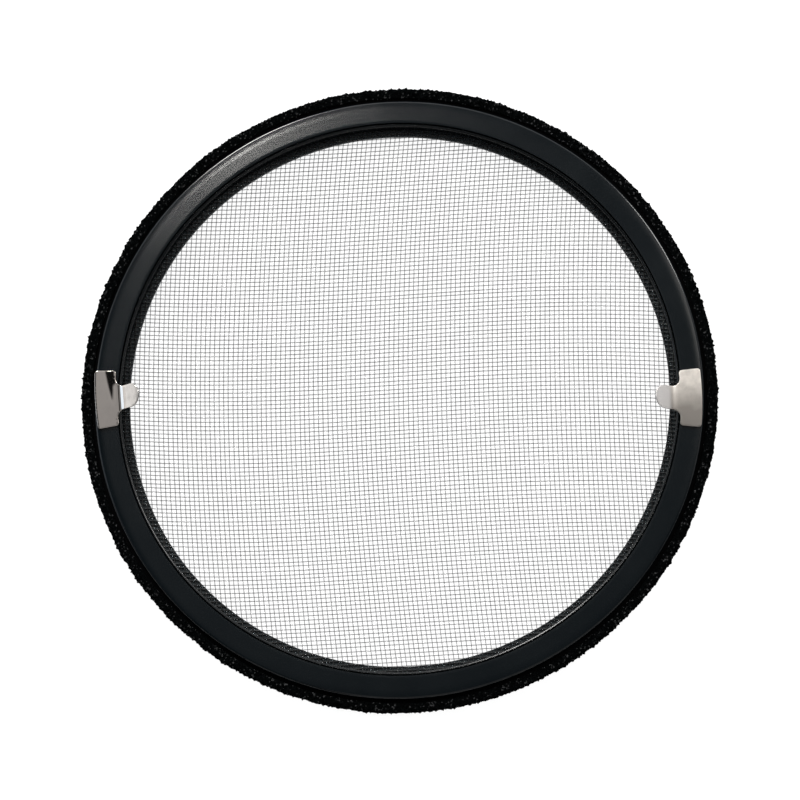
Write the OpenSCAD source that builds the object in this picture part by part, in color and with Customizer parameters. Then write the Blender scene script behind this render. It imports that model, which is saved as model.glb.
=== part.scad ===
// Round framed insect screen for a porthole or round vent.
// A black coated ring holds a tight disc of woven insect mesh, a foam strip round the outside wall
// grips the opening, and two thin stainless pull tabs lift the screen out by hand.
// +Z is the side that faces the user, and the back of the ring lies on the plane z = 0.

/* [Frame ring] */
// Outside diameter of the ring
frame_d = 204; // [160:1:320]
// Width of the flat front face, measured along the radius
face_w = 7.7; // [7.5:0.1:12]
// Height from the back of the ring to its front face
frame_h = 6.3; // [6:0.1:9]
// How far the ledge under the mesh reaches inward past the ring's inner wall
ledge_w = 3.4; // [2.8:0.1:5]
// Thickness of the ledge under the mesh
ledge_t = 1.6; // [1.2:0.1:2]
// Radius of the front face's outer edge
outer_round = 0.6; // [0.4:0.1:1.5]
// Radius of the front face's inner edge
inner_round = 0.5; // [0.4:0.1:1.6]
// Chamfer of the ring's back edges
back_chamfer = 0.4; // [0.2:0.1:0.6]

/* [Insect mesh] */
// Thickness of the woven mesh where its threads cross
mesh_t = 0.5; // [0.3:0.05:0.8]

/* [Retaining ring] */
// Width of the retaining ring where it stands on the mesh
retainer_w = 1.9; // [1.5:0.1:2.4]
// Width of the quarter-round bead along the retaining ring's front edge
bead_w = 0.76; // [0.5:0.02:1]
// How far the bead's crest lies below the front face
bead_drop = 0.44; // [0.2:0.02:0.8]

/* [Foam seal] */
// Thickness of the foam strip, measured along the radius
foam_w = 3.1; // [2:0.1:6]
// Height of the foam strip
foam_h = 5.1; // [4:0.1:5.8]
// Radius of the foam strip's outer edges
foam_round = 1.2; // [0.5:0.1:1.4]
// Gap between the two butted ends of the foam strip and of its tape
butt_gap = 0.3; // [0.1:0.1:1]
// Direction of the butted ends, anticlockwise from the right-hand tab
butt_angle = 109; // [20:1:160]

/* [Seal tape] */
// Thickness of the double-sided tape between the ring and the foam strip
tape_t = 1.1; // [0.5:0.1:2]
// Height of the tape, which is lower than the foam strip and reads as a dark groove
tape_h = 4.1; // [3:0.1:5]

/* [Pull tabs] */
// Thickness of the stainless sheet
tab_t = 0.5; // [0.4:0.05:0.8]
// Angle that each tab's cross-bar spans on the front face
bar_span = 11.3; // [8:0.1:16]
// Radial length of the cross-bar
bar_w = 7.1; // [5:0.1:7.2]
// Rounding of the cross-bar's corners
bar_round = 1.0; // [0.4:0.1:1.5]
// Width of the finger tongue
tongue_w = 8.3; // [6:0.1:12]
// Length of the finger tongue from the middle of its bend, along its slope
tongue_len = 8.7; // [7:0.1:14]
// Radius of the concave corners where the tongue leaves the cross-bar
neck_round = 2.8; // [1:0.1:3]
// Angle that the tongue rises from the front face
rise = 42; // [20:1:60]
// Inside radius of the bend
bend_r = 3.6; // [1:0.1:4]
// Turn of the left tab about the middle of its own cross-bar, as it was fitted by hand
left_turn = 4; // [-4:0.5:4]
// Turn of the right tab about the middle of its own cross-bar, as it was fitted by hand
right_turn = 2; // [-4:0.5:4]
// How much nearer the middle of the screen the right tab was fitted than the left one
right_inset = 0.4; // [0:0.1:0.5]
// How far round the ring the left tab sits below the middle, in degrees
left_drop = 0.3; // [0:0.1:4]
// How far round the ring the right tab sits below the middle, in degrees
right_drop = 1.3; // [0:0.1:4]
// Thickness of the adhesive pad under each cross-bar
pad_t = 0.2; // [0.1:0.05:0.4]

/* [Hidden] */
$fn = 180;

frame_r = frame_d / 2;
wall_r = frame_r - face_w;            // inner wall of the ring, above the ledge
ledge_r = wall_r - ledge_w;           // inner edge of the ledge, where the open mesh begins
mesh_top = ledge_t + mesh_t;
fit_gap = 0.1;                        // easy fit between the ring's wall and what drops inside it
retainer_r = wall_r - fit_gap;        // outside of the retaining ring's foot
bead_top = frame_h - bead_drop;
bead_r = wall_r - 0.95;               // middle of the bead's width
bead_shoulder = 0.7;                  // the foot narrows to the bead over this height
tape_r = frame_r + tape_t;
foam_r = tape_r + foam_w;
bar_outer_r = frame_r - 0.3;          // the cross-bars stop just short of the face's outer edge
bar_inner_r = bar_outer_r - bar_w;
bar_mid_r = (bar_outer_r + bar_inner_r) / 2;
tab_base = frame_h + pad_t;           // underside of each cross-bar
bend_start_r = bar_inner_r - 0.6;     // the bend begins just inside the cross-bar
bend_mid_r = bend_start_r - (bend_r + tab_t / 2) * sin(rise) / 2;
slope_len = tongue_len - (bend_r + tab_t / 2) * rise / 2 * PI / 180;
tip_r = bend_mid_r - tongue_len * cos(rise);
pad_inset = 0.6;                      // margin of each pad inside its cross-bar
overshoot = 1;                        // how far a cutting shape passes what it cuts
bend_steps = 12;                      // flats along each bend
corner_fn = 32;                       // fineness of the tabs' small corners

// A closed ring or an open strip: the children's outline, swept round the Z axis.
module swept(gap_angle = 0) {
    rotate([0, 0, butt_angle + gap_angle / 2])
        rotate_extrude(angle = 360 - gap_angle)
            children();
}

// One rounded corner of an outline: what a square corner loses to a radius r, opening towards +X +Y.
module corner_waste(r) {
    difference() {
        translate([-overshoot, -overshoot])
            square(r + overshoot);
        translate([r, r])
            circle(r);
    }
}

// One chamfered corner of an outline, at the origin.
module chamfer_waste(c) {
    polygon([[-c, 0], [0, -c], [c, 0], [0, c]]);
}

module frame_outline() {
    difference() {
        union() {
            translate([wall_r, 0])
                square([face_w, frame_h]);
            translate([ledge_r, 0])
                square([ledge_w + overshoot, ledge_t]);
        }
        translate([frame_r, frame_h])
            rotate(180)
                corner_waste(outer_round);
        translate([wall_r, frame_h])
            rotate(-90)
                corner_waste(inner_round);
        translate([frame_r, 0])
            chamfer_waste(back_chamfer);
        translate([ledge_r, 0])
            chamfer_waste(back_chamfer);
    }
}

module frame_ring() {
    color([0.10, 0.10, 0.11])
        swept()
            frame_outline();
}

module insect_mesh() {
    color([0.30, 0.31, 0.32])
        translate([0, 0, ledge_t])
            cylinder(r = retainer_r, h = mesh_t);
}

// The retaining ring stands on the mesh. Its thin bead has its crest on the outside, just below the
// front face, and rounds down towards the middle of the ring.
module retainer_outline() {
    bead_outer_r = bead_r + bead_w / 2;
    bead_base = bead_top - bead_w;
    polygon([
        [retainer_r - retainer_w, mesh_top],
        [retainer_r, mesh_top],
        [retainer_r, bead_base - bead_shoulder],
        [bead_outer_r, bead_base],
        [bead_outer_r - bead_w, bead_base]
    ]);
    translate([bead_outer_r, bead_base])
        intersection() {
            circle(bead_w);
            translate([-bead_w, 0])
                square(bead_w);
        }
}

module retaining_ring() {
    color([0.13, 0.13, 0.14])
        swept()
            retainer_outline();
}

module seal_tape() {
    color([0.03, 0.03, 0.03])
        swept(butt_gap / foam_r * 180 / PI)
            translate([frame_r, back_chamfer])
                square([tape_t, tape_h]);
}

module foam_outline() {
    difference() {
        translate([tape_r, 0])
            square([foam_w, foam_h]);
        translate([foam_r, foam_h])
            rotate(180)
                corner_waste(foam_round);
        translate([foam_r, 0])
            rotate(90)
                corner_waste(foam_round);
    }
}

module foam_seal() {
    color([0.05, 0.05, 0.05])
        swept(butt_gap / foam_r * 180 / PI)
            foam_outline();
}

// The part of a ring between two radii that spans an angle centred on +X.
module sector(inner, outer, span) {
    reach = outer + overshoot;
    intersection() {
        difference() {
            circle(outer, $fn = 360);
            circle(inner, $fn = 360);
        }
        polygon([
            [0, 0],
            [reach, -reach * tan(span / 2)],
            [reach, reach * tan(span / 2)]
        ]);
    }
}

// Seen from the front: the cross-bar with its rounded corners.
module bar_plan(inset = 0) {
    offset(r = bar_round, $fn = corner_fn)
        offset(delta = -bar_round - inset)
            sector(bar_inner_r, bar_outer_r, bar_span);
}

// Seen from the front: the tongue, with its round end foreshortened by the rise.
module tongue_plan() {
    tip_round = tongue_w / 2 * cos(rise);
    translate([tip_r + tip_round, -tongue_w / 2])
        square([bar_mid_r - tip_r - tip_round, tongue_w]);
    translate([tip_r + tip_round, 0])
        scale([cos(rise), 1])
            circle(tongue_w / 2, $fn = 2 * corner_fn);
}

module tab_plan() {
    offset(r = -neck_round, $fn = corner_fn)
        offset(delta = neck_round) {
            bar_plan();
            tongue_plan();
        }
}

// Points of a circular arc from one angle to another.
function arc(centre, r, from, to) = [
    for (i = [0 : bend_steps])
        let (a = from + (to - from) * i / bend_steps)
            centre + r * [cos(a), sin(a)]
];

// Seen from the side, with X along the radius: the flat bar, the bend and the rising tongue.
module tab_side() {
    centre = [bend_start_r, tab_t + bend_r];
    along = [-cos(rise), sin(rise)];
    past_tip = slope_len + overshoot;
    under = arc(centre, bend_r + tab_t, 270, 270 - rise);
    over = arc(centre, bend_r, 270 - rise, 270);
    polygon(concat(
        [[frame_r, tab_t], [frame_r, 0]],
        under,
        [under[bend_steps] + past_tip * along, over[0] + past_tip * along],
        over
    ));
}

module pull_tab() {
    color([0.72, 0.71, 0.70])
        intersection() {
            translate([0, 0, tab_base])
                rotate([90, 0, 0])
                    linear_extrude(frame_r, center = true)
                        tab_side();
            translate([0, 0, frame_h])
                linear_extrude(tongue_len + tab_t + bend_r)
                    tab_plan();
        }
}

module tab_pad() {
    color([0.05, 0.05, 0.05])
        translate([0, 0, frame_h])
            linear_extrude(pad_t)
                bar_plan(pad_inset);
}

// Puts a tab's piece on one side of the ring and turns it about its own cross-bar.
module at_side(side_angle, turn, inset = 0) {
    rotate(side_angle)
        translate([bar_mid_r - inset, 0])
            rotate(turn)
                translate([-bar_mid_r, 0])
                    children();
}

module left_tab_pad() {
    at_side(180 + left_drop, left_turn)
        tab_pad();
}

module right_tab_pad() {
    at_side(-right_drop, right_turn, right_inset)
        tab_pad();
}

module left_pull_tab() {
    at_side(180 + left_drop, left_turn)
        pull_tab();
}

module right_pull_tab() {
    at_side(-right_drop, right_turn, right_inset)
        pull_tab();
}

frame_ring();
retaining_ring();
insect_mesh();
seal_tape();
foam_seal();
left_tab_pad();
right_tab_pad();
left_pull_tab();
right_pull_tab();
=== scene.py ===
import math

import bpy
import numpy as np
from mathutils import Matrix, Vector, noise
from mathutils.geometry import delaunay_2d_cdt


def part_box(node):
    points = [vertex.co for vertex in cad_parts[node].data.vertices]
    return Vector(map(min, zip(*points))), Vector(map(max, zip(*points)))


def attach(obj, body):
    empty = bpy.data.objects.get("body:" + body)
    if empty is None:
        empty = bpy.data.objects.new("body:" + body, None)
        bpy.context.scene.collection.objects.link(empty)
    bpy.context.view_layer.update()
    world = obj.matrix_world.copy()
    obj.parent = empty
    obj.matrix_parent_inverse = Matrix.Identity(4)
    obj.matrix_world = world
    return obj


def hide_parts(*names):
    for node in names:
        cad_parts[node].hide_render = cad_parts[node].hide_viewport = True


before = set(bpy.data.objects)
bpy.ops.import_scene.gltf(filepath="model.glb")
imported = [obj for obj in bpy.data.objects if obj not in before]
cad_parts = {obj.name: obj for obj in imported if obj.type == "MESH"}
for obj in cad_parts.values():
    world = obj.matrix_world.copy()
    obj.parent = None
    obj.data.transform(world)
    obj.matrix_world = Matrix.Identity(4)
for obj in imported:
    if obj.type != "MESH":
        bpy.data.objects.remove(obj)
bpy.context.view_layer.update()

MM = 0.001
BODY = "root"

# ---------------------------------------------------------------- sizes read from the frame

mesh_low, mesh_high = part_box("insect_mesh")
tape_low, tape_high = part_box("seal_tape")
foam_low, foam_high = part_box("foam_seal")
ring_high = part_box("frame_ring")[1]
retainer_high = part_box("retaining_ring")[1]
pad_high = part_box("right_tab_pad")[1]

RING_R = ring_high.x
FACE_Z = ring_high.z
LEDGE_Z = mesh_low.z
MESH_TOP = mesh_high.z
RETAINER_R = retainer_high.x
BEAD_TOP = retainer_high.z
TAPE_R = tape_high.x
FOAM_R = foam_high.x
TAB_BASE = pad_high.z

# ---------------------------------------------------------------- sizes within those boxes

WALL_R = RETAINER_R + 0.1 * MM
LEDGE_R = WALL_R - 3.6 * MM
ROLL_W, ROLL_DROP = 2.2 * MM, 0.15 * MM  # the face rolls down towards its outer rim
EASE_W, EASE_DROP = 0.75 * MM, 0.06 * MM  # and is eased a little at its inner edge
RIM_ROUND = 0.9 * MM

FOOT_R = RETAINER_R - 1.2 * MM
BEAD_R = WALL_R - 0.82 * MM
BEAD_W = 0.76 * MM

WARP_PITCH, WEFT_PITCH = 25.4 / 16 * MM, 25.4 / 18 * MM
THREAD_R = 0.175 * MM
WEAVE_R = RETAINER_R - 0.8 * MM

BUTT_ANGLE = math.radians(109)
BUTT_GAP = 0.02 * MM
FOAM_STEP = 0.40 * MM
FOAM_LEAN_IN, FOAM_LEAN_OUT = 0.8 * MM, 0.55 * MM

TAB_T = 0.5 * MM
TAB_EDGE = 0.13 * MM
BAR_OUTER_R = RING_R - 0.3 * MM
BAR_INNER_R = BAR_OUTER_R - 7.1 * MM
BAR_MID_R = (BAR_OUTER_R + BAR_INNER_R) / 2
BAR_HALF_ANGLE = math.radians(5.65)
BAR_ROUND = 1.0 * MM
NECK_ROUND = 2.8 * MM
HALF_TONGUE = 4.15 * MM
RISE = math.radians(42)
BEND_R = 3.85 * MM
BEND_START_R = BAR_INNER_R - 0.6 * MM
TONGUE_FLAT = 8.7 * MM - BEND_R * math.tan(RISE) / 2


# ---------------------------------------------------------------- outlines and meshes


def rounded(corners, steps=8, guard=0.12 * MM):
    """A closed outline from (x, y, radius) corners. Each corner becomes an arc, with a guard point on
    the straight just before and after it, so that flat faces keep flat shading."""
    out = []
    count = len(corners)
    for i, (x, y, radius) in enumerate(corners):
        here = Vector((x, y))
        before = Vector(corners[i - 1][:2]) - here
        after = Vector(corners[(i + 1) % count][:2]) - here
        if radius <= 0:
            out.append(here)
            continue
        turn = before.angle(after)
        cut = radius / math.tan(turn / 2)
        bisector = (before.normalized() + after.normalized()).normalized()
        centre = here + bisector * (radius / math.sin(turn / 2))
        start = here + before.normalized() * cut
        end = here + after.normalized() * cut
        from_centre = start - centre
        sweep = from_centre.angle_signed(end - centre)
        if before.length - cut > 3 * guard:
            out.append(start + before.normalized() * guard)
        for k in range(steps + 1):
            out.append(centre + Matrix.Rotation(-sweep * k / steps, 2) @ from_centre)
        if after.length - cut > 3 * guard:
            out.append(end + after.normalized() * guard)
    return np.array([tuple(p) for p in out])


def mesh_object(name, points, faces, smooth_angle=None):
    """A new object in the row frame from arrays of points and faces."""
    mesh = bpy.data.meshes.new(name)
    mesh.from_pydata([tuple(p) for p in points], [], faces)
    mesh.validate()
    mesh.update()
    mesh.polygons.foreach_set("use_smooth", [True] * len(mesh.polygons))
    if smooth_angle is not None:
        mesh.set_sharp_from_angle(angle=math.radians(smooth_angle))
    obj = bpy.data.objects.new(name, mesh)
    bpy.context.scene.collection.objects.link(obj)
    return obj


def tube_faces(rings, per_ring, closed, caps):
    """Quads that join rings of points, with flat caps on an open run if asked."""
    i = np.arange(rings if closed else rings - 1)
    j = np.arange(per_ring)
    a = i[:, None] * per_ring + j[None, :]
    b = ((i + 1) % rings)[:, None] * per_ring + j[None, :]
    a_next = i[:, None] * per_ring + (j[None, :] + 1) % per_ring
    b_next = ((i + 1) % rings)[:, None] * per_ring + (j[None, :] + 1) % per_ring
    faces = np.stack([a, b, b_next, a_next], axis=-1).reshape(-1, 4).tolist()
    if caps and not closed:
        faces.append(list(range(per_ring)))
        faces.append(list(range((rings - 1) * per_ring, rings * per_ring))[::-1])
    return faces


def lathe(name, outline, segments, start=0.0, sweep=math.tau):
    """The outline's (radius, height) points swept round the Z axis, as a closed ring or an open strip."""
    closed = sweep >= math.tau
    turns = segments if closed else segments + 1
    angles = start + sweep * np.arange(turns) / segments
    r, z = outline[:, 0], outline[:, 1]
    points = np.stack(
        [
            np.cos(angles)[:, None] * r,
            np.sin(angles)[:, None] * r,
            np.broadcast_to(z, (turns, len(z))),
        ],
        axis=-1,
    ).reshape(-1, 3)
    return mesh_object(name, points, tube_faces(turns, len(outline), closed, True), 40)


# ---------------------------------------------------------------- node materials


class Nodes:
    """A new node material, with short calls for the nodes used here."""

    def __init__(self, name):
        self.material = bpy.data.materials.new(name)
        self.material.use_nodes = True
        self.tree = self.material.node_tree
        self.shader = self.tree.nodes["Principled BSDF"]
        self.place = self.tree.nodes.new("ShaderNodeTexCoord").outputs["Object"]

    def node(self, kind, **settings):
        made = self.tree.nodes.new(kind)
        for key, value in settings.items():
            setattr(made, key, value)
        return made

    def link(self, source, target):
        self.tree.links.new(source, target)

    def stretched(self, factors):
        """The object's own place, scaled by a factor along each axis."""
        mapping = self.node("ShaderNodeMapping")
        mapping.inputs["Scale"].default_value = factors
        self.link(self.place, mapping.inputs["Vector"])
        return mapping.outputs["Vector"]

    def noise(self, size, detail=2.0, roughness=0.5, place=None):
        """Noise whose features are about size metres across."""
        made = self.node("ShaderNodeTexNoise")
        made.inputs["Scale"].default_value = 1 / size
        made.inputs["Detail"].default_value = detail
        made.inputs["Roughness"].default_value = roughness
        self.link(place or self.place, made.inputs["Vector"])
        return made.outputs["Fac"]

    def part(self, axis):
        """How far along one axis of the object each place lies."""
        made = self.node("ShaderNodeSeparateXYZ")
        self.link(self.place, made.inputs[0])
        return made.outputs[axis]

    def cells(self, size, feature="F1", output="Distance"):
        """Voronoi cells about size metres across."""
        made = self.node("ShaderNodeTexVoronoi", feature=feature)
        made.inputs["Scale"].default_value = 1 / size
        self.link(self.place, made.inputs["Vector"])
        return made.outputs[output]

    def span(self, source, low, high, to_low, to_high):
        """Maps source from low..high to to_low..to_high, clamped."""
        made = self.node("ShaderNodeMapRange")
        made.inputs["From Min"].default_value = low
        made.inputs["From Max"].default_value = high
        made.inputs["To Min"].default_value = to_low
        made.inputs["To Max"].default_value = to_high
        self.link(source, made.inputs["Value"])
        return made.outputs["Result"]

    def blend(self, factor, first, second):
        """A colour between first and second, each a colour or an output."""
        made = self.node("ShaderNodeMix", data_type="RGBA")
        self.link(factor, made.inputs["Factor"])
        for name, value in (("A", first), ("B", second)):
            socket = next(s for s in made.inputs if s.name == name and s.type == "RGBA")
            if isinstance(value, tuple):
                socket.default_value = (*value, 1.0)
            else:
                self.link(value, socket)
        return next(s for s in made.outputs if s.type == "RGBA")

    def add(self, first, second, share=1.0):
        """first + share * second."""
        made = self.node("ShaderNodeMath", operation="MULTIPLY_ADD")
        self.link(second, made.inputs[0])
        made.inputs[1].default_value = share
        self.link(first, made.inputs[2])
        return made.outputs[0]

    def bump(self, height, distance):
        """Bumps of the given height in metres, on the shader's normal."""
        made = self.node("ShaderNodeBump")
        made.inputs["Strength"].default_value = 1.0
        made.inputs["Distance"].default_value = distance
        self.link(height, made.inputs["Height"])
        self.link(made.outputs["Normal"], self.shader.inputs["Normal"])

    def set(self, **values):
        """Sets the shader's own sockets, with _ for the spaces in their names."""
        for name, value in values.items():
            self.shader.inputs[name.replace("_", " ")].default_value = value

    def drive(self, name, source):
        """Drives one of the shader's sockets from an output."""
        self.link(source, self.shader.inputs[name])


def coating_material():
    """Satin black powder coat with a soft peel, a little metal flake and dust. The ledge under the mesh
    is coloured lighter than the face, and is rougher and less glossy."""
    m = Nodes("ring_coating")
    flakes = m.span(m.cells(0.16 * MM, output="Color"), 0.82, 1.0, 0.0, 1.0)
    dust = m.span(m.noise(0.9 * MM, 3.0, 0.6), 0.62, 0.78, 0.0, 1.0)
    cloud = m.span(m.noise(14 * MM, 3.0), 0.3, 0.7, 0.0, 1.0)
    base = m.blend(cloud, (0.0008, 0.0026, 0.0040), (0.0018, 0.0038, 0.0052))
    dusty = m.blend(dust, base, (0.0045, 0.0060, 0.0070))
    ledge = m.span(m.part("Z"), LEDGE_Z, MESH_TOP, 1.0, 0.0)
    flaked = m.blend(flakes, dusty, (0.010, 0.012, 0.014))
    m.drive("Base Color", m.blend(ledge, flaked, (0.030, 0.036, 0.039)))
    fine = m.noise(0.9 * MM, 1.0)
    satin = m.add(m.span(cloud, 0.0, 1.0, 0.155, 0.185), fine, 0.015)
    m.drive("Roughness", m.add(satin, ledge, 0.4))
    m.drive("Specular IOR Level", m.span(ledge, 0.0, 1.0, 0.5, 0.12))
    m.set(IOR=1.45)
    peel = m.add(m.noise(1.7 * MM, 1.0), m.noise(4.0 * MM, 1.0), 1.8)
    m.bump(peel, 0.0014 * MM)
    return m.material


def retainer_material():
    """Moulded black plastic, a little glossier than the coated ring."""
    m = Nodes("retainer_plastic")
    cloud = m.span(m.noise(6 * MM, 3.0), 0.3, 0.7, 0.0, 1.0)
    m.drive("Base Color", m.blend(cloud, (0.0020, 0.0030, 0.0038), (0.0035, 0.0046, 0.0054)))
    m.drive("Roughness", m.span(m.noise(0.6 * MM, 2.0), 0.3, 0.7, 0.20, 0.26))
    m.drive("Specular IOR Level", m.span(m.part("Z"), BEAD_TOP - 0.8 * MM, BEAD_TOP, 0.35, 0.85))
    m.set(IOR=1.3)
    m.bump(m.noise(0.8 * MM, 2.0), 0.001 * MM)
    return m.material


def thread_material():
    """Charcoal vinyl-coated glass thread that lets a little light through, with a lighter bloom here and
    there."""
    m = Nodes("mesh_thread")
    patch = m.span(m.noise(9 * MM, 3.0), 0.35, 0.7, 0.0, 1.0)
    speck = m.span(m.noise(0.5 * MM, 2.0), 0.45, 0.75, 0.0, 1.0)
    base = m.blend(patch, (0.30, 0.302, 0.304), (0.35, 0.352, 0.354))
    m.drive("Base Color", m.blend(speck, base, (0.45, 0.452, 0.455)))
    m.drive("Roughness", m.span(speck, 0.0, 1.0, 0.60, 0.75))
    m.set(IOR=1.08, Transmission_Weight=0.94)
    m.bump(m.noise(0.12 * MM, 2.0), 0.01 * MM)
    return m.material


def foam_material():
    """Black open-cell foam. Its colour holds painted light: the cell walls are coloured lighter as
    painted light, the pores near black as painted shade, and rare cells as painted glints.
    """
    m = Nodes("foam")
    wall = m.cells(0.55 * MM, feature="DISTANCE_TO_EDGE")
    # painted light on the cell walls and painted shade in the pores; the same mask also raises the walls
    # in the bump
    rim = m.span(wall, 0.02, 0.16, 1.0, 0.0)
    # painted glints: rare cells coloured lighter
    painted_glint = m.span(m.cells(0.45 * MM, output="Color"), 0.80, 0.88, 0.0, 1.0)
    base = m.blend(rim, (0.0002, 0.0004, 0.0005), (0.0034, 0.0040, 0.0042))
    m.drive("Base Color", m.blend(painted_glint, base, (0.044, 0.045, 0.046)))
    m.drive("Roughness", m.span(m.noise(0.8 * MM, 2.0), 0.3, 0.7, 0.75, 0.95))
    m.set(IOR=1.03)
    m.bump(rim, 0.12 * MM)
    return m.material


def tape_material():
    """Black double-sided foam tape, seen on its cut edge."""
    m = Nodes("tape")
    grain = m.span(m.noise(0.5 * MM, 3.0), 0.35, 0.7, 0.0, 1.0)
    m.drive("Base Color", m.blend(grain, (0.0010, 0.0010, 0.0012), (0.0026, 0.0026, 0.0028)))
    m.drive("Roughness", m.span(grain, 0.0, 1.0, 0.6, 0.8))
    m.set(IOR=1.03)
    m.bump(m.noise(0.3 * MM, 3.0), 0.03 * MM)
    return m.material


def stainless_material(name, along, roughness, grain_depth, ripple, upper, lower, tip):
    """Stainless sheet, whose grain runs along the axis with the small factor. The colour holds painted
    reflection: the cross-bar turns from its upper colour to its lower one towards its lower end, and the
    tongue that is bent up takes its tip colour, both a painted darker reflection. Random smudges also
    lean towards the lower colour."""
    m = Nodes(name)
    grain = m.noise(0.10 * MM, 3.0, 0.6, m.stretched(along))
    smudge = m.span(m.noise(3.5 * MM, 3.0, 0.55), 0.35, 0.75, 0.0, 0.5)
    wander = m.add(m.part("Y"), m.noise(4 * MM, 2.0), 4 * MM)
    # painted reflection: the cross-bar is coloured darker towards its lower end
    painted_reflection_lower_end = m.span(wander, -4 * MM, 6 * MM, 1.0, 0.0)
    bar = m.blend(smudge, m.blend(painted_reflection_lower_end, upper, lower), lower)
    # painted reflection: the tongue that is bent up is coloured in the tip colour
    painted_reflection_tongue = m.span(m.part("Z"), TAB_BASE + 1.2 * MM, TAB_BASE + 2.2 * MM, 0.0, 1.0)
    m.drive("Base Color", m.blend(painted_reflection_tongue, bar, tip))
    low, high = roughness
    m.drive("Roughness", m.add(m.span(grain, 0.3, 0.7, low, high), smudge, 0.02))
    m.set(Metallic=1.0)
    m.bump(m.add(m.noise(2.6 * MM, 1.0), grain, grain_depth), ripple)
    return m.material


# ---------------------------------------------------------------- the pieces


def finish_piece(piece, material, slot_name, *nodes):
    """Gives a piece its material, fixes it to the body and puts it in place of CAD nodes. slot_name is
    not used.
    """
    piece.data.materials.append(material)
    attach(piece, BODY)
    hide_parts(*nodes)


def make_frame_ring():
    """The L-shaped ring: outer wall, face and the ledge under the mesh."""
    outline = rounded(
        [
            (LEDGE_R, 0.0, 0.35 * MM),
            (RING_R, 0.0, 0.4 * MM),
            (RING_R, FACE_Z - ROLL_DROP, RIM_ROUND),
            (RING_R - ROLL_W, FACE_Z, 30 * MM),
            (WALL_R + EASE_W, FACE_Z, 8 * MM),
            (WALL_R, FACE_Z - EASE_DROP, 0.0),
            (WALL_R, LEDGE_Z, 0.25 * MM),
            (LEDGE_R, LEDGE_Z, 0.35 * MM),
        ]
    )
    return lathe("frame_ring_coated", outline, 540)


def make_retaining_ring():
    """A foot on the mesh, and a thin bead that rounds down towards the middle of the ring."""
    bead_outer = BEAD_R + BEAD_W / 2
    bead_inner = BEAD_R - BEAD_W / 2
    bead_base = BEAD_TOP - BEAD_W
    outline = rounded(
        [
            (FOOT_R, MESH_TOP, 0.12 * MM),
            (RETAINER_R, MESH_TOP, 0.12 * MM),
            (RETAINER_R, bead_base - 0.7 * MM, 0.2 * MM),
            (bead_outer, bead_base, 0.15 * MM),
            (bead_outer, BEAD_TOP, 0.06 * MM),
            (bead_inner, BEAD_TOP, 0.69 * MM),
            (bead_inner, bead_base, 0.1 * MM),
        ],
        steps=8,
        guard=0.03 * MM,
    )
    return lathe("retaining_ring_moulded", outline, 540)


def strip_round(name, outline, segments):
    """A lathe that starts and ends at the butt joint."""
    gap = BUTT_GAP / FOAM_R
    return lathe(name, outline, segments, BUTT_ANGLE + gap / 2, math.tau - gap)


def make_tape():
    outline = rounded(
        [
            (RING_R, tape_low.z, 0.05 * MM),
            (TAPE_R, tape_low.z, 0.05 * MM),
            (TAPE_R, tape_high.z, 0.05 * MM),
            (RING_R, tape_high.z, 0.05 * MM),
        ],
        steps=3,
    )
    return strip_round("seal_tape_strip", outline, 420)


def weave_place(a, b):
    """Where the weave's thread grid (a, b) lies once the cloth was stretched by hand: turned a degree
    or two, with its upright threads bowed and its level ones slightly curved. All in millimetres."""
    x = a - 0.0206 * b + 0.00067 * b * b
    y = b + 0.055 * a - 4.8e-6 * a**3
    x = x + 0.10 * np.sin(b / 17.0 + a / 41.0) + 0.07 * np.sin(a / 7.3 + b / 29.0)
    y = y + 0.10 * np.sin(a / 19.0 - b / 37.0) + 0.06 * np.sin(b / 6.1 - a / 33.0)
    return x, y


def thread_tube(line, half_width):
    """Rings of four points along a thread's line, as an array of (ring, corner, axis)."""
    along = np.gradient(line, axis=0)
    along /= np.linalg.norm(along, axis=1)[:, None]
    side = np.cross(along, [0, 0, 1])
    side /= np.linalg.norm(side, axis=1)[:, None]
    up = np.cross(side, along)
    corner = math.sqrt(2) * half_width
    quarters = math.pi / 4 + math.pi / 2 * np.arange(4)
    return np.stack(
        [line + corner * (math.cos(q) * side + math.sin(q) * up) for q in quarters],
        axis=1,
    )


def cut_to_circle(line, radius):
    """The part of a line of points that lies inside the circle, with its ends on it, or None."""
    inside = np.nonzero(line[:, 0] ** 2 + line[:, 1] ** 2 < radius**2)[0]
    if len(inside) < 2:
        return None
    first = max(inside[0] - 1, 0)
    last = min(inside[-1] + 1, len(line) - 1)
    line = line[first : last + 1]
    for end, inner in ((0, 1), (-1, -2)):
        line[end] = trimmed(line[inner], line[end], radius)
    return line


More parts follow.
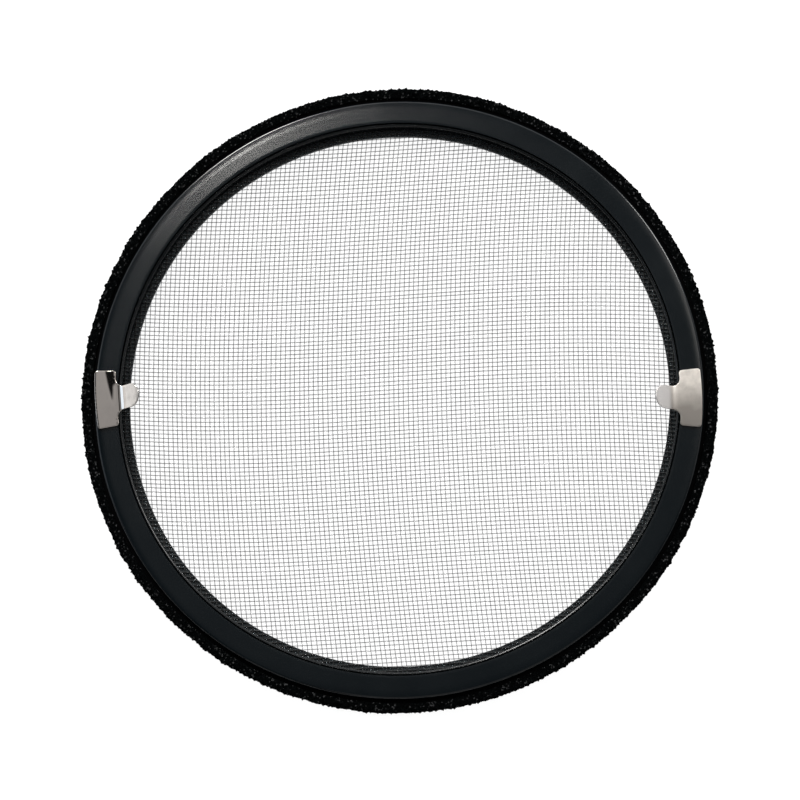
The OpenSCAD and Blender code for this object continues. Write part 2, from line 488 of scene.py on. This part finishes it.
def make_insect_mesh():
    """Plain weave, 16 by 18 threads to the inch. Each thread is a four-sided tube that passes over one
    crossing thread and under the next, and its open ends are clamped out of sight."""
    reach = 75
    count = 2 * reach + 1
    rng = np.random.default_rng(18)
    jitter_x = rng.normal(0, 0.045, (count, 1))
    jitter_y = rng.normal(0, 0.045, (1, count))
    steps = np.arange(-reach, reach + 1)
    i, j = np.meshgrid(steps, steps, indexing="ij")
    x, y = weave_place(i * WARP_PITCH / MM + jitter_x, j * WEFT_PITCH / MM + jitter_y)
    half_thread = 0.8 * THREAD_R / MM
    middle = (LEDGE_Z + MESH_TOP) / 2 / MM
    lift = (MESH_TOP - LEDGE_Z) / 2 / MM - half_thread
    over = np.where((i + j) % 2 == 0, 1.0, -1.0) * lift
    points, faces, total = [], [], 0
    for k in range(count):
        upright = np.stack([x[k], y[k], middle + over[k]], axis=1)
        level = np.stack([x[:, k], y[:, k], middle - over[:, k]], axis=1)
        for line in (upright, level):
            line = cut_to_circle(line, WEAVE_R / MM)
            if line is None:
                continue
            points.append(thread_tube(line, half_thread).reshape(-1, 3))
            for face in tube_faces(len(line), 4, False, False):
                faces.append([v + total for v in face])
            total += len(line) * 4
    return mesh_object("insect_mesh_weave", np.concatenate(points) * MM, faces)


def trimmed(inner, outer, radius):
    """The point where the line from inner to outer leaves the circle of that radius."""
    low, high = 0.0, 1.0
    for _ in range(20):
        t = (low + high) / 2
        p = inner + (outer - inner) * t
        if p[0] ** 2 + p[1] ** 2 < radius**2:
            low = t
        else:
            high = t
    return inner + (outer - inner) * low


def foam_outline(step):
    """The strip's section, with points step apart wherever it can be seen."""
    shape = rounded(
        [
            (TAPE_R, foam_low.z, 0.0),
            (FOAM_R - FOAM_LEAN_IN, foam_low.z, 1.0 * MM),
            (FOAM_R + FOAM_LEAN_OUT, foam_high.z, 0.8 * MM),
            (TAPE_R, foam_high.z, 0.5 * MM),
        ],
        steps=6,
        guard=10.0,
    )
    out = []
    for k in range(len(shape)):
        a, b = shape[k], shape[(k + 1) % len(shape)]
        hidden = a[0] < TAPE_R + 0.01 * MM and b[0] < TAPE_R + 0.01 * MM
        parts = 2 if hidden else max(1, round(float(np.linalg.norm(b - a)) / step))
        for q in range(parts):
            out.append(a + (b - a) * q / parts)
    return np.array(out)


def foam_push(p, radius):
    """How far the foam stands out at a place, in millimetres: slow lumps, pits between the cell walls
    and stray tufts, less at its cut ends and where it sits low."""
    q = p / MM
    lump = noise.noise(q / 9.0) * 0.24 + noise.noise(q / 3.4 + Vector((7, 1, 3))) * 0.22
    near, _ = noise.voronoi(q / 1.05)
    cell = min(1.0, (near[1] - near[0]) / 0.5)
    tuft = max(0.0, noise.noise(q / 0.8 + Vector((2, 9, 4)))) * 0.85
    from_end = abs((math.atan2(p.y, p.x) - BUTT_ANGLE + math.pi) % math.tau - math.pi)
    end_round = max(0.0, 1.0 - from_end * radius / (0.9 * MM)) ** 2
    set_low = 0.12 * (1 - p.y / radius)
    return lump + 0.20 - 0.32 * cell + tuft - 0.45 * end_round - set_low


def foam_place(p, normal):
    """The place pushed along its normal, but not round the ring, and less near the glued side."""
    radius = math.hypot(p.x, p.y)
    free = min(1.0, max(0.0, (radius - TAPE_R) / (0.6 * (FOAM_R - TAPE_R))))
    along = Vector((-p.y, p.x, 0)) / radius
    p = p + (normal - along * normal.dot(along)) * (foam_push(p, radius) * MM) * free
    p.z = min(max(p.z, foam_low.z), foam_high.z + 0.6 * MM)
    return p


def make_foam():
    """The foam strip: a lathe that noise then makes lumpy and open-celled, with its ends butted."""
    outline = foam_outline(FOAM_STEP)
    segments = round((math.tau - BUTT_GAP / FOAM_R) * FOAM_R / FOAM_STEP)
    piece = strip_round("foam_seal_strip", outline, segments)
    mesh = piece.data
    places = [v.co.copy() for v in mesh.vertices]
    normals = [v.normal.copy() for v in mesh.vertices]
    moved = [foam_place(p, normal) for p, normal in zip(places, normals)]
    mesh.vertices.foreach_set("co", np.array(moved).ravel())
    mesh.update()
    return piece


def tab_outline():
    """The tab's flat blank, in (distance from the ring's axis, distance along the bar) metres."""
    half_bar = BAR_MID_R * BAR_HALF_ANGLE
    tip = BEND_START_R - BEND_R * RISE - TONGUE_FLAT
    tip_round = 0.99 * HALF_TONGUE
    corners = [
        (BAR_OUTER_R, -half_bar, BAR_ROUND),
        (BAR_OUTER_R, half_bar, BAR_ROUND),
        (BAR_INNER_R, half_bar, BAR_ROUND),
        (BAR_INNER_R, HALF_TONGUE, NECK_ROUND),
        (tip, HALF_TONGUE, tip_round),
        (tip, -HALF_TONGUE, tip_round),
        (BAR_INNER_R, -HALF_TONGUE, NECK_ROUND),
        (BAR_INNER_R, -half_bar, BAR_ROUND),
    ]
    coarse = rounded(corners, steps=16, guard=0.1 * MM)
    out = []
    for k in range(len(coarse)):
        a, b = coarse[k], coarse[(k + 1) % len(coarse)]
        parts = max(1, math.ceil(float(np.linalg.norm(b - a)) / (0.4 * MM)))
        for q in range(parts):
            out.append(a + (b - a) * q / parts)
    return np.array(out)


def edge_layers(steps=5):
    """(shrink, height) of each loop of points down the blank's tumbled edge, from top to bottom."""
    upper = []
    for k in range(steps + 1):
        q = math.pi / 2 * k / steps
        upper.append((TAB_EDGE * (1 - math.sin(q)), TAB_T - TAB_EDGE * (1 - math.cos(q))))
    return upper + [(shrink, TAB_T - height) for shrink, height in reversed(upper)]


def net_inside(rim):
    """The rim's points and a net of points inside it, with the triangles that join them. The net is
    finest where the tongue bends."""
    bend_from, bend_to = BAR_INNER_R - 1.8 * MM, BAR_INNER_R + 0.2 * MM
    us = np.concatenate(
        [
            np.arange(BAR_INNER_R - 9 * MM, bend_from, 0.8 * MM),
            np.arange(bend_from, bend_to, 0.12 * MM),
            np.arange(bend_to + 0.1 * MM, BAR_OUTER_R, 0.6 * MM),
        ]
    )
    vs = np.arange(-10 * MM, 10 * MM, 0.6 * MM)
    inner = [(u, v) for u in us for v in vs if inside_by(rim, u, v, 0.2 * MM)]
    places = [Vector(p) for p in rim] + [Vector(p) for p in inner]
    loop = [(k, (k + 1) % len(rim)) for k in range(len(rim))]
    points, _, triangles, _, _, _ = delaunay_2d_cdt(places, loop, [], 1, 1e-9)
    return np.array([tuple(p) for p in points]), triangles


def flat_blank():
    """The tab before it is shaped: its points' places in the blank, their heights, and its faces."""
    outline = tab_outline()
    count = len(outline)
    nearby = np.roll(outline, -1, 0) - np.roll(outline, 1, 0)
    inward = np.stack([-nearby[:, 1], nearby[:, 0]], axis=1)
    inward /= np.linalg.norm(inward, axis=1)[:, None]
    layers = edge_layers()
    flat = [outline + inward * shrink for shrink, _ in layers]
    high = [np.full(count, height) for _, height in layers]
    faces = []
    for layer in range(len(layers) - 1):
        for k in range(count):
            a, b = layer * count + k, layer * count + (k + 1) % count
            faces.append([a, a + count, b + count, b])
    net, triangles = net_inside(outline + inward * TAB_EDGE)
    for height, layer in ((TAB_T, 0), (0.0, len(layers) - 1)):
        total = sum(len(part) for part in flat)
        rim_index = layer * count + np.arange(count)
        net_index = total + np.arange(len(net) - count)
        index = np.concatenate([rim_index, net_index]).tolist()
        for triangle in triangles:
            corners = [index[k] for k in triangle]
            faces.append(corners if height > 0 else corners[::-1])
        flat.append(net[count:])
        high.append(np.full(len(net_index), height))
    return np.concatenate(flat), np.concatenate(high), faces


def laid_round_face(u, v):
    """Each place's (x, y) once the bar follows the ring's face. The tongue's sides stay straight."""
    angle = v / BAR_MID_R
    held = np.minimum(u, BAR_INNER_R)
    fade = np.clip(1 - (BAR_INNER_R - held) / NECK_ROUND, 0, 1)
    on_tongue = u - BAR_INNER_R * (1 - np.cos(angle)) * fade
    x = np.where(u >= BAR_INNER_R, u * np.cos(angle), on_tongue)
    y = np.maximum(u, BAR_INNER_R) * np.sin(angle)
    return x, y


def bent_up(x, height):
    """Each place's (x, height) once the tongue is bent up."""
    past = np.maximum(BEND_START_R - x, 0)
    theta = np.minimum(past / BEND_R, RISE)
    rest = np.maximum(past - BEND_R * RISE, 0)
    top_r = BEND_R + TAB_T / 2
    radius = top_r - height
    bent_x = BEND_START_R - radius * np.sin(theta) - rest * math.cos(RISE)
    bent_height = top_r - radius * np.cos(theta) + rest * math.sin(RISE)
    return np.where(past > 0, bent_x, x), np.where(past > 0, bent_height, height)


def make_tab(name, side_angle, turn, inset, press):
    """One pull tab: a flat blank with tumbled edges, laid round the ring's face and bent up. The press
    function gives how far handling has bent the cross-bar up at each place of the blank."""
    blank, height, faces = flat_blank()
    u, v = blank[:, 0], blank[:, 1]
    x, y = laid_round_face(u, v)
    x, height = bent_up(x, height + press(u - BAR_INNER_R, v))
    points = np.stack([x, y, height + TAB_BASE], axis=1)
    piece = mesh_object(name, points, faces, 50)
    centre = Vector((BAR_MID_R, 0, 0))
    place = (
        Matrix.Rotation(side_angle, 4, "Z")
        @ Matrix.Translation(centre - Vector((inset, 0, 0)))
        @ Matrix.Rotation(math.radians(turn), 4, "Z")
        @ Matrix.Translation(-centre)
    )
    piece.data.transform(place)
    return piece


def sprung_corner(u, v):
    """The left bar's upper inner corner springs up a little, along a line that slants to the bend."""
    u = np.maximum(u, 0)
    past = np.maximum(0, 4.0 * MM - u - (v + 9 * MM) * 0.22)
    fade = np.clip((3.4 * MM - v) / (3 * MM), 0, 1)
    root = np.clip((v + 6 * MM) / (2 * MM), 0, 1) * np.maximum(0, 0.9 * MM - u)
    return fade * (0.075 * (past - 0.5 * MM * (1 - np.exp(-past / (0.5 * MM)))) - 0.06 * root)


def bowed(u, v):
    """The right bar is bowed along its length, so that its ends lie lower than its middle."""
    return -1.9 * v**2


def inside_by(loop, u, v, margin):
    """Is (u, v) inside the loop, and at least margin from each of its points?"""
    if np.min((loop[:, 0] - u) ** 2 + (loop[:, 1] - v) ** 2) < margin**2:
        return False
    a, b = loop, np.roll(loop, -1, 0)
    crosses = (a[:, 1] > v) != (b[:, 1] > v)
    with np.errstate(divide="ignore", invalid="ignore"):
        at = a[:, 0] + (v - a[:, 1]) / (b[:, 1] - a[:, 1]) * (b[:, 0] - a[:, 0])
    return bool(np.count_nonzero(crosses & (u < at)) % 2)


# ---------------------------------------------------------------- build the object

ring = make_frame_ring()
finish_piece(ring, coating_material(), "ring_coating", "frame_ring")

retainer = make_retaining_ring()
finish_piece(retainer, retainer_material(), "retainer_plastic", "retaining_ring")

weave = make_insect_mesh()
finish_piece(weave, thread_material(), "mesh_thread", "insect_mesh")

tape_finish = tape_material()
tape = make_tape()
finish_piece(tape, tape_finish, "tape", "seal_tape")
for pad in ("left_tab_pad", "right_tab_pad"):
    pad_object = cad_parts[pad]
    pad_object.data.materials.clear()
    pad_object.data.materials.append(tape_finish)

foam = make_foam()
finish_piece(foam, foam_material(), "foam", "foam_seal")

left_tab = make_tab("left_pull_tab_sheet", math.radians(180.3), 4, 0, sprung_corner)
finish_piece(
    left_tab,
    stainless_material(
        "stainless_polished",
        along=(1, 0.2, 1),
        roughness=(0.045, 0.06),
        grain_depth=0.05,
        ripple=0.006 * MM,
        upper=(0.93, 0.86, 0.80),
        # lower and tip are painted reflection: the bar's darker lower end and the darker tongue
        lower=(0.88, 0.81, 0.755),
        tip=(0.58, 0.555, 0.53),
    ),
    "stainless",
    "left_pull_tab",
)
right_tab = make_tab("right_pull_tab_sheet", math.radians(-1.3), 2, 0.4 * MM, bowed)
finish_piece(
    right_tab,
    stainless_material(
        "stainless_satin",
        along=(1, 0.06, 1),
        roughness=(0.37, 0.44),
        grain_depth=0.4,
        ripple=0.012 * MM,
        upper=(0.92, 0.87, 0.81),
        # lower and tip are painted reflection: the bar's darker lower end and the darker tongue
        lower=(0.35, 0.325, 0.30),
        tip=(0.74, 0.72, 0.71),
    ),
    "stainless",
    "right_pull_tab",
)


# ---------------------------------------------------------------- floor, light and camera


def make_floor():
    """A pale floor, lit evenly from within so that it stays plain under the screen."""
    half = 3.0
    corners = [(-half, -half, 0), (half, -half, 0), (half, half, 0), (-half, half, 0)]
    floor = mesh_object("floor", np.array(corners), [[0, 1, 2, 3]])
    m = Nodes("floor")
    tone = m.span(m.noise(0.25, 2.0), 0.3, 0.7, 0.0, 1.0)
    m.drive("Base Color", m.blend(tone, (0.19, 0.19, 0.19), (0.21, 0.21, 0.21)))
    m.set(Roughness=0.9)
    m.set(Emission_Color=(1, 1, 1, 1), Emission_Strength=0.965, Specular_IOR_Level=0.1)
    floor.data.materials.append(m.material)


def area_light(name, place, size, power, colour):
    """A round lamp that looks at the middle of the object."""
    light = bpy.data.lights.new(name, "AREA")
    light.shape = "DISK"
    light.size = size
    light.energy = power
    light.color = colour
    obj = bpy.data.objects.new(name, light)
    obj.location = place
    obj.rotation_euler = (-Vector(place)).to_track_quat("-Z", "Y").to_euler()
    bpy.context.scene.collection.objects.link(obj)


def make_lights():
    """A small key overhead, two lamps and two soft boxes lower down, and a sky that is dim overhead,
    light behind the top and dark in front."""
    area_light("key", (-0.191, 0.447, 1.10), 0.05, 0.70, (1.0, 0.98, 0.95))
    area_light("upper_left", (-0.67, 1.34, 0.745), 0.50, 34, (1.0, 0.985, 0.96))
    area_light("upper_right", (0.93, 0.885, 0.78), 0.42, 11, (1.0, 0.985, 0.96))
    area_light("left_box", (-1.25, 0.15, 0.80), 0.75, 1.45, (0.71, 0.85, 1.0))
    area_light("right_box", (1.30, 0.15, 0.75), 0.70, 0.8, (1.0, 0.96, 0.94))
    area_light("right_card", (0.42, 0.405, 1.215), 0.30, 0.72, (1.0, 0.97, 0.93))
    world = bpy.data.worlds.new("studio")
    world.use_nodes = True
    tree = world.node_tree
    place = tree.nodes.new("ShaderNodeTexCoord").outputs["Generated"]
    behind = sky_ramp(
        tree,
        place,
        (-0.15, 0.90, -0.42),
        [(-0.75, 0.36), (-0.60, 0.03), (-0.30, 0.17), (0.05, 0.19), (0.60, 1.1)],
    )
    leftward = sky_ramp(
        tree,
        place,
        (1, 0, 0),
        [
            (-0.96, 1.7),
            (-0.90, 1.0),
            (-0.40, 1.0),
            (-0.35, 0.03),
            (-0.24, 0.03),
            (-0.19, 1.7),
            (-0.14, 1.7),
            (-0.10, 1.0),
        ],
    )
    both = tree.nodes.new("ShaderNodeMath")
    both.operation = "MULTIPLY"
    tree.links.new(behind, both.inputs[0])
    tree.links.new(leftward, both.inputs[1])
    tree.links.new(both.outputs[0], tree.nodes["Background"].inputs["Color"])
    bpy.context.scene.world = world


def sky_ramp(tree, place, axis, stops):
    """Brightness along an axis of the sky, from (how far along, brightness) stops."""
    along = tree.nodes.new("ShaderNodeVectorMath")
    along.operation = "DOT_PRODUCT"
    along.inputs[1].default_value = Vector(axis).normalized()
    half = tree.nodes.new("ShaderNodeMath")
    half.operation = "MULTIPLY_ADD"
    half.inputs[1].default_value = 0.5
    half.inputs[2].default_value = 0.5
    ramp = tree.nodes.new("ShaderNodeValToRGB")
    while len(ramp.color_ramp.elements) < len(stops):
        ramp.color_ramp.elements.new(0.5)
    for element, (where, bright) in zip(ramp.color_ramp.elements, stops):
        element.position = where / 2 + 0.5
        element.color = (bright, bright, bright, 1)
    tree.links.new(place, along.inputs[0])
    tree.links.new(along.outputs["Value"], half.inputs[0])
    tree.links.new(half.outputs[0], ramp.inputs["Fac"])
    return ramp.outputs["Color"]


def make_camera():
    """Looks down on the face from 12 degrees below the ring's own normal, from 1.17 m away. Its aim
    lies a little below the face's middle, so that the foreshortened ring is centred."""
    camera = bpy.data.objects.new("camera", bpy.data.cameras.new("camera"))
    bpy.context.scene.collection.objects.link(camera)
    face_centre = Vector((0, 0, FACE_Z))
    towards = Vector((0.0545, -0.2007, 0.978)).normalized()
    distance = 11.5 * RING_R
    right = Vector((0, 1, 0)).cross(towards).normalized()
    up = towards.cross(right)
    aim = face_centre + right * 0.7 * MM - up * 1.77 * MM
    turn = Matrix((right, up, towards)).transposed().to_4x4()
    camera.matrix_world = Matrix.Translation(aim + towards * distance) @ turn
    camera.data.sensor_width = 36
    camera.data.lens = 158.0
    camera.data.clip_start = 0.05
    camera.data.clip_end = 20
    bpy.context.scene.camera = camera


make_floor()
make_lights()
make_camera()
bpy.context.scene.view_settings.view_transform = "Standard"
